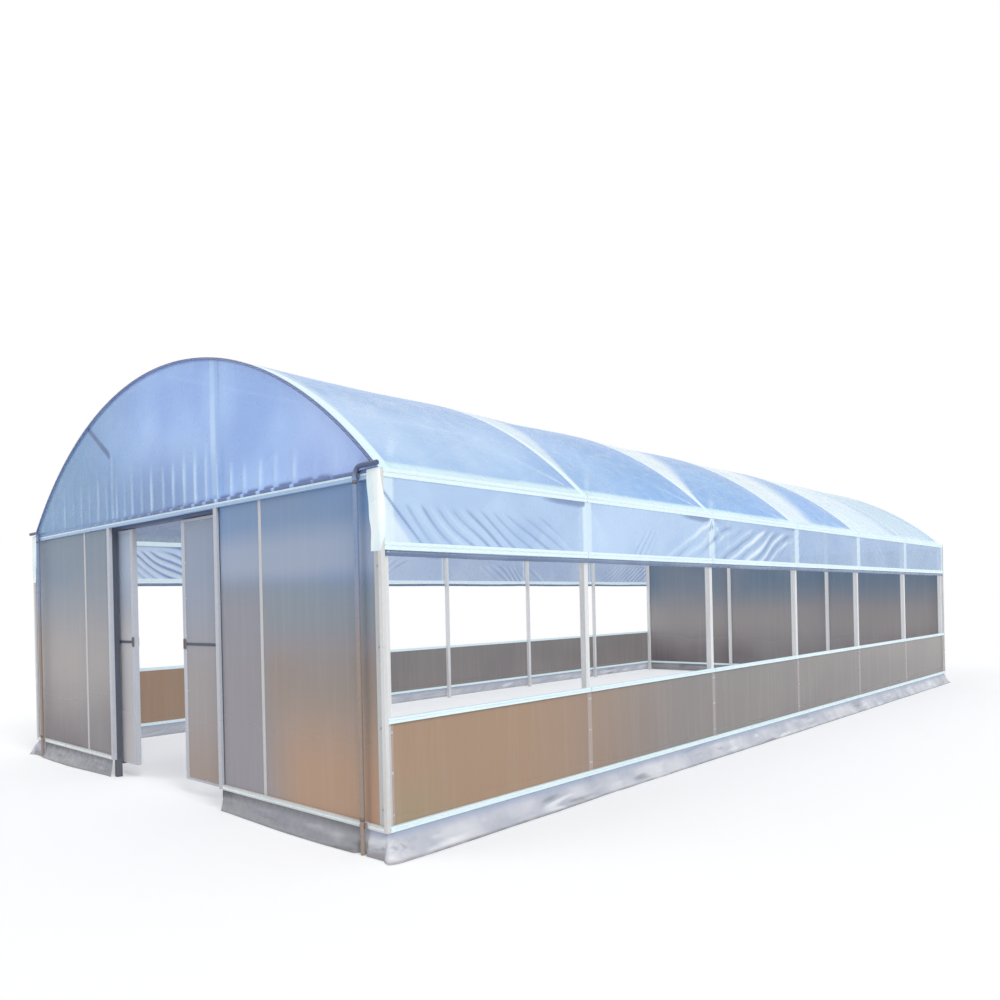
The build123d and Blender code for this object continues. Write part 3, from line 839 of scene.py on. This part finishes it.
def side_band(side, name):
    """Film band over the vent: flat between its two rails, with patches of slanting
    creases that deepen towards the vent head, and painted shade below the eave before a post."""
    y = np.linspace(-end_face, end_face, 1300)[:, None]
    z = np.linspace(band_bottom, band_top, 28)[None, :]
    drop = (band_top - z) / (band_top - band_bottom)
    fold = 0.1 * rumple(y, z, 0.8, 31 + side)
    for start, stop, lean, spacing, strength, sharp, crest, upper, seed in BAND_CREASES[side]:
        wander = 0.3 * rumple(y, 0 * y, 0.9, seed) + 0.08 * rumple(y, z, 0.5, seed + 40)
        slant = lean + (0.75 * ease(y, -6.1, -5.1) if seed == STEEPER_CREASES else 0)
        along = y + slant * (z - band_bottom)
        lines = crease(along, spacing, wander, sharp, crest)
        here = window(along, start, stop, 0.16)
        uneven = (0.85 + 0.3 * rumple(along, 0.4 * z, 0.6, seed + 60)).clip(0.2, 1.2)
        fold += strength * lines * here * uneven * ease(drop, upper, upper + 0.22)
    for number, station in enumerate(stations[1:-1], start=1):
        reach = np.hypot((y - station) * 0.8, z - band_top)
        spoke = np.arctan2(band_top - z, np.abs(y - station) + 0.01)
        pull = np.cos(spoke * 6 + number) ** 3 * np.exp(-reach / 0.13)
        fold += (1.2 if number == 2 else 0.5) * pull
        # Painted shade under the eave rail just before each post; it also dents the film a little
        before = ease(y, station - 0.8, station - 0.3) * (y < station - 0.03)
        shade = np.exp(-(((z - band_top + 0.012) / (0.012 + 0.022 * before)) ** 2))
        fold -= (1.1 if number < 3 else 0.5) * before * shade
    # Painted highlight over the corner post behind the film
    if side > 0:  # pale on the corner post, up to a dark slanting line
        first = y + (z - band_bottom) + 5.925
        fold += 0.75 * (1 - ease(first, -0.05, 0.0)) - 0.9 * np.exp(-((first / 0.02) ** 2))
    fold = np.clip(fold, -1, 1)
    held = ease(drop, 0, 0.1) * (0.45 + 0.55 * ease(1 - drop, 0, 0.12))
    x = side * (side_face - 0.0065 + 0.0062 * fold * held)
    rails = [f"eave_rail_{name}", f"vent_head_rail_{name}"]
    sheet(f"side_band_{name}", joined(x, y, z), "side_film_pale", "hung", rails,
          [f"side_film_{name}"], side < 0, fold)


def vent_rolls():
    """Film rolled up below each vent head, dark with painted shade under it: an oval section
    carried along the wall, which sags a little by a square of a sine between posts."""
    y = np.linspace(-end_face + 0.01, end_face - 0.01, 260)
    sag = 0.004 * np.sin(np.pi * (y - stations[0]) / bay) ** 2
    corners = 14
    oval = disc(1.0, corners) * (0.0138, 0.0185)
    level = vent_head_bottom - 0.0195 - sag + 0.0008 * rumple(y, 0 * y, 0.2, 17)
    fold = np.tile(0.5 * np.sin(np.arange(corners) * 2.2), len(y))
    for side, name in SIDES:
        path = joined(side * (side_face - 0.015), y, level)
        roll = run(path, oval, (side, 0, 0), (0, 0, 1))
        piece(f"vent_roll_{name}", [roll], "rolled_film_blue", "film", smooth=True, fold=fold)


def corner_flaps():
    """Loose end of the side film, folded round each corner from the eave to the vent
    head: a line along the end wall, round the corner and along the side, carried down.
    Its edges move in towards the foot, and its bulge is a half sine of the height."""
    part = np.linspace(0, 1, 50)[:, None]
    across = np.linspace(0, 1, 17)[None, :]
    z = eave_level - 0.003 - part * (eave_level - vent_head_bottom + 0.004)
    half_turn, gap = 0.006, 0.0045
    for end, end_name in ENDS:
        for side, side_name in SIDES:
            seed = 70 + 2 * side + end
            wave = rumple(part * 0.5, across * 0.2, 0.3, seed)
            first = -0.122 + 0.03 * ease(part, 0.1, 1) + 0.004 * rumple(part, 0 * part, 0.3, seed)
            last = 0.006 + 0.03 * ease(part, 0.05, 0.5) - 0.032 * ease(part, 0.75, 1)
            s = first + (last - first) * across
            bulge = 0.005 * np.sin(np.pi * part) * ease(s, -0.09, -0.02)
            lift = gap + bulge + 0.0006 * wave
            turn = np.clip((s + half_turn) / (2 * half_turn), 0, 1) * np.pi / 2
            x = side * (side_face - gap + np.minimum(s + half_turn, 0) + lift * np.sin(turn)
                        + 0.001 * (s > -half_turn))
            y = end * (wall_face - gap - np.maximum(s - half_turn, 0) + lift * np.cos(turn)
                       + 0.002 * (turn < 0.1))
            sheet(f"corner_flap_{end_name}_{side_name}", joined(x, y, z), "corner_film_white",
                  "hung", [f"eave_rail_{side_name}", "corner_channels"], [], side * end > 0,
                  0.35 * wave + 0.45)


def lengths(path):
    """How far along a path each of its points lies."""
    return np.concatenate(([0], np.cumsum(np.linalg.norm(np.diff(path, axis=0), axis=1))))


def skirt(name, path, outward, finish, seed, replaced, rests_on, flipped, reach, lump=None):
    """Ground skirt along a path on the rails' outer face. Across it the film starts under
    the rail, falls in a shallow curve and lies flat at the hem; its folds are creases
    drawn out along the wall, and a lump of gathered film stands at the corner."""
    tucked, hem_height = 0.0135, 0.0025
    part = np.linspace(0, 1, 22)[None, :]
    s = lengths(path)[:, None]
    reach = np.broadcast_to(reach, len(s))[:, None]
    out = -tucked + (reach + tucked) * part**1.25
    height = base_bottom - 0.002 - (base_bottom - 0.005) * (1 - (1 - part) ** 1.35)
    across = 0.2 * part
    broad = rumple(0.7 * s, 1.6 * across, 0.5, seed)
    long = rumple(0.16 * s + 0.25 * across, across, 0.09, seed + 1, 26)
    fine = rumple(0.5 * s - 0.4 * across, across, 0.06, seed + 2, 26)
    strength = 0.65 + 0.45 * rumple(0.7 * s, across, 0.4, seed + 3)
    fold = 0.3 * broad + 0.42 * strength * long + 0.12 * (1.3 - strength) * fine
    gathered = np.zeros(s.shape)
    if lump:
        gathered = np.exp(-(((s - lump[0]) / lump[1]) ** 2))
        ribs = np.sin(75 * s + 9 * part + 3 * rumple(s, part, 0.3, seed + 4))
        fold = fold * (1 - 0.5 * gathered) + gathered * (0.3 + 0.35 * ribs)
    fold = np.clip(fold, -1, 1)
    body = ease(part, 0.0, 0.3)
    out = out + 0.007 * fold * body * (1 - part) ** 0.5
    out = out - 0.008 * part**3 * (1 - broad.clip(-1, 1)) / 2
    height = height + 0.006 * (fold + 0.4) * body * ease(1 - part, 0, 0.4)
    height = height + 0.03 * gathered * np.sin(np.pi * part) ** 2
    height = np.maximum(height, hem_height)
    flat = path[:, None, :2] + out[..., None] * outward[:, None, :2]
    grid = np.concatenate((flat, height[..., None]), -1)
    sheet(name, grid, finish, "laid", rests_on, replaced, flipped, fold, "skirt_film",
          hem=np.broadcast_to(part, fold.shape))


def straight(start, stop, step):
    count = max(2, int(np.linalg.norm(np.subtract(stop, start)) / step))
    return np.linspace(start, stop, count)


def side_skirts():
    """Each long skirt turns both corners: the path is the front return, a quarter circle,
    the side, a quarter circle, and the outward directions turn with it."""
    quarter = np.linspace(0, np.pi / 2, 12)
    depth = wall_face - end_face
    turn_x, turn_y = np.sin(quarter), np.cos(quarter)
    first = straight((pipe_inner + 0.017, -wall_face, 0), (post_face, -wall_face, 0), 0.008)
    corner = joined(post_face + depth * turn_x, -end_face - depth * turn_y, 0)
    middle = straight((side_face, -end_face, 0), (side_face, end_face, 0), 0.014)
    around = joined(turn_x, -turn_y, 0)
    mirror = (1, -1, 1)
    right_path = np.concatenate((first[:-1], corner[:-1], middle[:-1], corner[::-1] * mirror))
    right_outward = np.concatenate((
        np.tile((0.0, -1.0, 0.0), (len(first) - 1, 1)), around[:-1],
        np.tile((1.0, 0.0, 0.0), (len(middle) - 1, 1)), around[::-1] * mirror,
    ))
    s = lengths(right_path)
    reach = -0.001 + 0.033 * ease(s, 0.018, 0.06) + 0.11 * ease(s, 0.208, 0.236)
    reach = reach - 0.01 * ease(s, 0.24, 0.5) - 0.045 * ease(s, 0.9, 2.6)
    reach = np.minimum(reach, -0.001 + 0.11 * ease(s[-1] - s, -0.1, 0.05))
    for side, name in SIDES:
        path, outward = right_path * (side, 1, 1), right_outward * (side, 1, 1)
        skirt(f"skirt_cover_{name}", path, outward, "skirt_film_white", 80 + side,
              [f"skirt_{name}", "skirt_corners"], [f"base_rail_{name}"], side < 0, reach,
              (0.26, 0.09))


def end_skirts():
    """Skirts between jamb and corner at the front, and one across the back."""
    stop = pipe_inner + 0.015
    for side, name in SIDES:
        path = straight((side * jamb_outer, -wall_face, 0), (side * stop, -wall_face, 0), 0.01)
        s = np.linspace(0, 1, len(path)) * (stop - jamb_outer)
        reach = 0.018 + 0.042 * ease(s, 0, 1.0) - 0.012 * ease(s, 1.2, 1.7)
        reach = -0.001 + (reach + 0.001) * ease(s[-1] - s, 0.016, 0.06)
        outward = np.tile((0.0, -1.0, 0.0), (len(path), 1))
        skirt(f"front_skirt_{name}", path, outward, "skirt_film_grey", 90 + side,
              ["front_skirts"], ["front_base_rails"], side < 0, reach)
    path = straight((-post_face, wall_face, 0), (post_face, wall_face, 0), 0.015)
    outward = np.tile((0.0, 1.0, 0.0), (len(path), 1))
    skirt("back_skirt_cover", path, outward, "skirt_film_grey", 95, ["back_skirt"],
          ["back_base_rail"], True, 0.087)


# Wires, locks and fasteners


def zigzag(start, stop, out, up):
    """Lock wire: a line from start to stop that swings up and down by turns, as the
    triangle wave of the distance along it."""
    pitch, swing, radius = 0.085, 0.0034, 0.0008
    count = int(np.linalg.norm(stop - start) / pitch) * 2
    part = np.linspace(0, 1, count + 1)[:, None]
    swing_by = np.where(np.arange(count + 1) % 2, swing, -swing)[:, None]
    path = start + (stop - start) * part + swing_by * np.asarray(up, float)
    return run(path, disc(radius, 4), out, up)


# Film pushed into a groove: out from the rail's face, and up
TUCK = [(-0.0002, -0.0058), (-0.0012, -0.003), (-0.0012, 0.003), (-0.0002, 0.0058),
        (-0.0022, 0.0058), (-0.0032, 0.003), (-0.0032, -0.003), (-0.0022, -0.0058)]


def tucks_and_wires():
    """In every rail's groove, the film's tucked edge and the wire that holds it there."""
    base = (base_bottom + base_top) / 2
    beam = (beam_bottom + eave_level) / 2
    heights = ((band_top + eave_level) / 2, (vent_head_bottom + vent_head_top) / 2,
               (sill_bottom + sill_top) / 2, base)
    far, edge = end_face - 0.004, post_face - 0.004
    places = [((side, 0, 0), (side * side_face, -far, z), (side * side_face, far, z))
              for z in heights for side, _ in SIDES]
    for end, z, start, stop in (
        (-1, beam, -edge, edge), (1, beam, -edge, edge), (1, base, -edge, edge),
        (-1, base, jamb_outer + 0.004, edge), (-1, base, -edge, -jamb_outer - 0.004),
    ):
        places.append(((0, end, 0), (start, end * wall_face, z), (stop, end * wall_face, z)))
    up = (0, 0, 1)
    tucks, wires = [], []
    for out, start, stop in np.array(places, float):
        lead = 0.03 * (stop - start) / np.linalg.norm(stop - start)
        inset = 0.0006 * out
        tucks.append(run([start, stop], TUCK, out, up))
        wires.append(zigzag(start + lead - inset, stop - lead - inset, out, up))
    piece("tucked_film", tucks, "corner_film_white", "film")
    piece("side_lock_wires", wires[:8], "lock_wire_steel", "dark_steel", smooth=True)
    piece("end_lock_wires", wires[8:], "lock_wire_steel", "dark_steel", smooth=True)


def gable_locks():
    """Channel that clamps the gable film along the hoop: a low U section carried along an
    arc inside the roof's edge, with a wire that swings in and out along it."""
    angle = np.linspace(-roof_angle + 0.012, roof_angle - 0.012, 181)
    section = [(-0.008, 0), (0.008, 0), (0.008, 0.007), (0.0055, 0.007), (0.0055, 0.0025),
               (-0.0055, 0.0025), (-0.0055, 0.007), (-0.008, 0.007)]
    radial = joined(np.sin(angle), 0, np.cos(angle))
    swing = np.where(np.arange(len(angle)) % 2, 0.003, -0.003)[:, None]
    for end, name in ENDS:
        path = roof_point(angle, end * (end_face + 0.0125), roof_radius - 0.0135)
        lock = run(path, section, radial, (0, end, 0))
        path = path + swing * radial + np.array((0, end * 0.0045, 0))
        wire = run(path, disc(0.0016, 5), radial, (0, end, 0))
        piece(f"gable_lock_{name}", [lock], "film_lock_steel", "dark_steel")
        piece(f"gable_lock_wire_{name}", [wire], "lock_wire_steel", "dark_steel", smooth=True)


bolt = turned(
    [(0.0075, 0), (0.0075, 0.0012), (0.0052, 0.0014), (0.0052, 0.0046), (0.0042, 0.0054)], 6
)
washer_bolt = gather([
    turned([(0.0105, 0), (0.0105, 0.0016), (0.0085, 0.0022)], 12),
    turned([(0.0058, 0.002), (0.0058, 0.0062), (0.0046, 0.007)], 6),
])
screw = turned([(0.0042, 0), (0.0042, 0.0007), (0.0022, 0.0017)], 8)


def fasteners():
    """Hexagon bolts where rails cross posts, two to a crossing, and along the sheets."""
    rail_bolts, sheet_bolts = [], []
    for side, _ in SIDES:
        places = [
            (side * side_face, station, level + step)
            for level, reach in ((eave_level - 0.0275, 0.0195), (vent_head_top - 0.025, 0.017),
                                 ((sill_bottom + sill_top) / 2, 0.0125))
            for station in stations[1:-1]
            for step in (-reach, reach)
        ]
        rail_bolts.append(set_out(bolt, places, (side, 0, 0)))
        places = [
            (side * (post_face + 0.008), station + step, level)
            for station in stations
            for step in (-0.012, 0.012)
            for level in (0.26, 0.52, 0.77)
            if abs(station + step) < end_face - 0.03
        ]
        sheet_bolts.append(set_out(washer_bolt, places, (side, 0, 0)))
    heights = (0.3, 0.8, 1.3, 1.8, 2.25)
    for end, x, y in ((-1, post_face - edge_inset, end_face + 0.0105),
                      (1, post_face - edge_inset, end_face + 0.0105),
                      (1, door_post + 0.016, end_face + 0.008)):
        places = [(side * x, end * y, z) for side, _ in SIDES for z in heights]
        sheet_bolts.append(set_out(washer_bolt, places, (0, end, 0)))
    jamb = [(side * door_post, -wall_face, z) for side, _ in SIDES for z in (0.24, 0.9, 1.6, 2.28)]
    rail_bolts.append(set_out(bolt, jamb, (0, -1, 0)))
    piece("rail_bolts", rail_bolts, "hoop_zinc_coat", "galvanised_tube")
    piece("sheet_bolts", sheet_bolts, "edge_bar_coat", "galvanised_tube")


def upright(x, y, heights, wide, deep):
    """Upright bar of an oblong section between two heights."""
    return run([(x, y, z) for z in heights], bar(wide, deep), (1, 0, 0), (0, 1, 0))


def edge_bars():
    """Flat bars that clamp the edges of the sheets at each corner, the bars over the joint
    in each front sheet, and dark beads beside the bars and the jambs, which are painted
    shade in the gaps there and on the jambs' sides."""
    bars, beads = [], []
    wall, low_wall = (base_top, beam_bottom), (base_top, sill_bottom)
    behind = 0.17, beam_bottom - 0.005
    for side, _ in SIDES:
        for end in (1, -1):
            for made, x, y, heights, wide, deep in (
                (bars, post_face - edge_inset, end_face + 0.0093, wall, 0.054, 0.0025),
                (beads, post_face - 0.0045, end_face + 0.0091, wall, 0.008, 0.002),
                (bars, post_face + 0.0092, end_face - 0.016, low_wall, 0.0024, 0.03),
            ):
                made.append(upright(side * x, end * y, heights, wide, deep))
        for made, x, y, heights, wide, deep in (
            (bars, sheet_joint, end_face + 0.0088, wall, 0.036, 0.0018),
            (beads, jamb_outer + 0.005, end_face + 0.0095, wall, 0.009, 0.003),
            (beads, 2 * door_post - jamb_outer - 0.0014, end_face - 0.024, behind, 0.0024, 0.044),
        ):
            made.append(upright(side * x, -y, heights, wide, deep))
    piece("sheet_edge_bars", bars, "edge_bar_coat", "white_rail")
    # The dark beads stand as painted shade beside the bars and on the jambs
    piece("sheet_edge_shade_beads", beads, "dark_seal_rubber", "dark_steel")


def strap(centre, inner, outer, width, way, across):
    """Clamp strap: an oblong section carried round half a circle in the plane of way and
    across."""
    turn = np.linspace(0, np.pi, 13)
    way, across = np.asarray(way, float), np.asarray(across, float)
    radial = np.cos(turn)[:, None] * way + np.sin(turn)[:, None] * across
    path = np.asarray(centre, float) + (inner + outer) / 2 * radial
    return run(path, bar(outer - inner, width), radial, np.cross(way, across))


def clamps():
    """Straps that tie the ridge purlin to each hoop and the guide pipes to their saddles."""
    purlin_bottom, purlin_top = levels("ridge_purlin")
    radius = (purlin_top - purlin_bottom) / 2
    straps = []
    for station in stations:
        inward = 0.034 if station < stations[-1] else -0.034
        centre = (0, station + inward, (purlin_bottom + purlin_top) / 2)
        straps.append(strap(centre, radius + 0.0003, radius + 0.003, 0.024, (-1, 0, 0), (0, 0, -1)))
    piece("purlin_straps", straps, "hoop_zinc_coat", "galvanised_tube", smooth=True)
    radius, strap_levels, bolt_levels = 0.016, (0.222, 2.328), (0.18, 2.37)
    x, y = pipe_inner + 0.027, -(wall_face + 0.0003 + radius)
    straps, places = [], []
    for side, _ in SIDES:
        for level in strap_levels:
            straps.append(strap((side * x, y, level), radius + 0.0002, radius + 0.0028, 0.02,
                                (1, 0, 0), (0, -1, 0)))
        places += [(side * x + step, y, level + up) for level in bolt_levels
                   for step in (-0.0215, 0.0215) for up in (-0.006, 0.006)]
    straps.append(set_out(bolt, places, (0, -1, 0)))
    piece("guide_pipe_straps", straps, "bare_dark_steel", "dark_steel", smooth=True)


def leaf_details():
    """On each leaf's face: a strip over the joint between its panes, and screws round
    them. On its room side: a bead round each opening, and bolted corner plates, but none
    at the lower free corner, which runs between the door guides."""
    plate, rim, bead = 0.11, 0.012, 0.006
    outline = ((0, 0), (plate, 0), (plate, rim), (rim, plate), (0, plate))
    for side, name in SIDES:
        body = f"door_{name}"
        low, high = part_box(f"{body}_frame")
        pane_low, pane_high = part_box(f"{body}_panes")
        joint = sum(levels(f"{body}_handle")) / 2
        face = pane_low.y
        ends = [(x, face - 0.0011, joint) for x in (pane_low.x + 0.0005, pane_high.x - 0.0005)]
        strip = run(ends, bar(0.002, 0.024), (0, 1, 0), (0, 0, 1))
        piece(f"leaf_{name}_joint_strip", [strip], "dark_seal_rubber", "dark_steel", body)
        spots = [(x, face, z) for x in (pane_low.x + 0.008, pane_high.x - 0.008)
                 for z in (0.22, 0.55, 0.88, 1.2, 1.34, 1.65, 1.95, 2.24)]
        spots += [(x, face, z) for x in (pane_low.x + 0.3, (low.x + high.x) / 2, pane_high.x - 0.3)
                  for z in (pane_low.z + 0.012, pane_high.z - 0.012)]
        screws = set_out(screw, spots, (0, -1, 0))
        piece(f"leaf_{name}_screws", [screws], "lock_wire_steel", "dark_steel", body)
        plates, bolts, beads = [], [], []
        for x, way in ((low.x, 1), (high.x, -1)):
            for z, up in ((low.z, 1), (high.z, -1)):
                if up > 0 and way == side:
                    continue
                corner = np.array((x + way * 0.006, high.y + 0.0011, z + up * 0.006))
                path = [corner - (0, 0.001, 0), corner + (0, 0.001, 0)]
                plates.append(run(path, outline, (way, 0, 0), (0, 0, up)))
                places = [corner + (way * a, 0.001, up * b)
                          for a, b in ((0.018, 0.018), (0.09, 0.012), (0.012, 0.09))]
                bolts.append(set_out(bolt, places, (0, 1, 0)))
        piece(f"leaf_{name}_corner_plates", plates + bolts, "leaf_pale_coat", "leaf_frame", body)
        y = pane_high.y + 0.0032
        x_low, x_high = pane_low.x + 0.015, pane_high.x - 0.015
        for z_low, z_high in ((low.z + 0.05, joint - 0.018), (joint + 0.018, high.z - 0.05)):
            for z in (z_low + 0.0032, z_high - 0.0032):
                path = [(x_low + 0.0002, y, z), (x_high - 0.0002, y, z)]
                beads.append(run(path, bar(bead, bead), (0, 1, 0), (0, 0, 1)))
            for x in (x_low + 0.0032, x_high - 0.0032):
                beads.append(upright(x, y, (z_low + 0.0064, z_high - 0.0064), bead, bead))
        piece(f"leaf_{name}_beads", beads, "dark_seal_rubber", "dark_steel", body)


roof_cover()
gable_cover(-1, "front", 41)
gable_cover(1, "back", 51)
gable_fringes()
for side, side_name in SIDES:
    side_band(side, side_name)
vent_rolls()
corner_flaps()
side_skirts()
end_skirts()
tucks_and_wires()
gable_locks()
fasteners()
edge_bars()
clamps()
leaf_details()


# Stage, light and camera


def floor():
    """A pale floor that fades into the white all round; its shadow stays."""
    reach, drop, fades, gone = 60.0, 0.0015, 8.5, 17.0
    corners = np.meshgrid((-reach, reach), (-reach, reach), indexing="ij")
    made = mesh_object("floor", *skin(joined(*corners, -drop)))
    stone = Finish("pale_floor", Roughness=0.85, Base_Color=tint((244, 245, 247)))
    stone.fill(stone.shader, {"Specular IOR Level": 0.1})
    away = stone.put("VectorMath", {0: stone.where}, operation="LENGTH").outputs["Value"]
    faded = stone.eased(away, fades, gone, 1.0, 0.0)
    seen = stone.times(stone.put("LightPath").outputs["Is Camera Ray"], 0.12)
    lift = stone.put("Emission", {"Color": (1, 1, 1, 1), "Strength": seen})
    clear = stone.put("BsdfTransparent")
    both = stone.put("AddShader", {0: stone.shader.outputs[0], 1: lift.outputs[0]})
    whole = stone.put("MixShader", {0: faded, 1: clear.outputs[0], 2: both.outputs[0]})
    stone.fill(stone.tree.nodes["Material Output"], {"Surface": whole.outputs[0]})
    made.data.materials.append(stone.material)


def world():
    """White to the eye and in reflections, and an even soft light on everything."""
    sky = bpy.data.worlds.new("studio")
    sky.use_nodes = True
    net = Net(sky.node_tree)
    rays = net.put("LightPath").outputs
    seen = net.maths("MAXIMUM", rays["Is Camera Ray"], rays["Is Glossy Ray"])
    seen = net.maths("MAXIMUM", seen, rays["Is Transmission Ray"])
    strength = net.maths("ADD", net.times(seen, 0.4), 0.6)
    net.fill(net.tree.nodes["Background"], {"Color": (1, 1, 1, 1), "Strength": strength})
    bpy.context.scene.world = sky


def stand(made, axes, at=(0.0, 0.0, 0.0)):
    """Stands a lamp or a camera at a point, with its own X, Y and Z along three ways."""
    matrix = np.eye(4)
    matrix[:3, :3] = np.transpose(axes)
    matrix[:3, 3] = at
    made.matrix_world = Matrix(matrix.tolist())


def sun(name, towards, strength, spread):
    """A soft lamp that shines from the direction given."""
    light = bpy.data.lights.new(name, "SUN")
    light.energy, light.angle = strength, math.radians(spread)
    stand(put_in_scene(name, light), facing(towards))


def camera():
    """Eye height of a person before the front right corner, looking along the wall. The
    lens is its length over the sensor's width, and the frame is shifted up."""
    right = (0.73816, 0.67425, -0.02232)
    up = (0.01563, 0.01598, 0.99975)
    backward = (0.67444, -0.73833, 0.00126)
    eye = (6.8729, -9.4438, 1.5532)
    sensor, lens, shift = 36.0, 0.81554, 0.1042
    data = bpy.data.cameras.new("camera")
    data.sensor_width, data.lens, data.shift_y = sensor, sensor * lens, shift
    data.clip_start, data.clip_end = 0.1, 200.0
    made = put_in_scene("camera", data)
    stand(made, (right, up, backward), eye)
    bpy.context.scene.camera = made


floor()
world()
sun("key", (0.82, -0.2, 0.6), 1.55, 24)
sun("fill", (-0.5, -0.75, 0.55), 0.65, 40)
camera()

scene = bpy.context.scene
scene.view_settings.view_transform = "Standard"
scene.cycles.transparent_max_bounces = 40
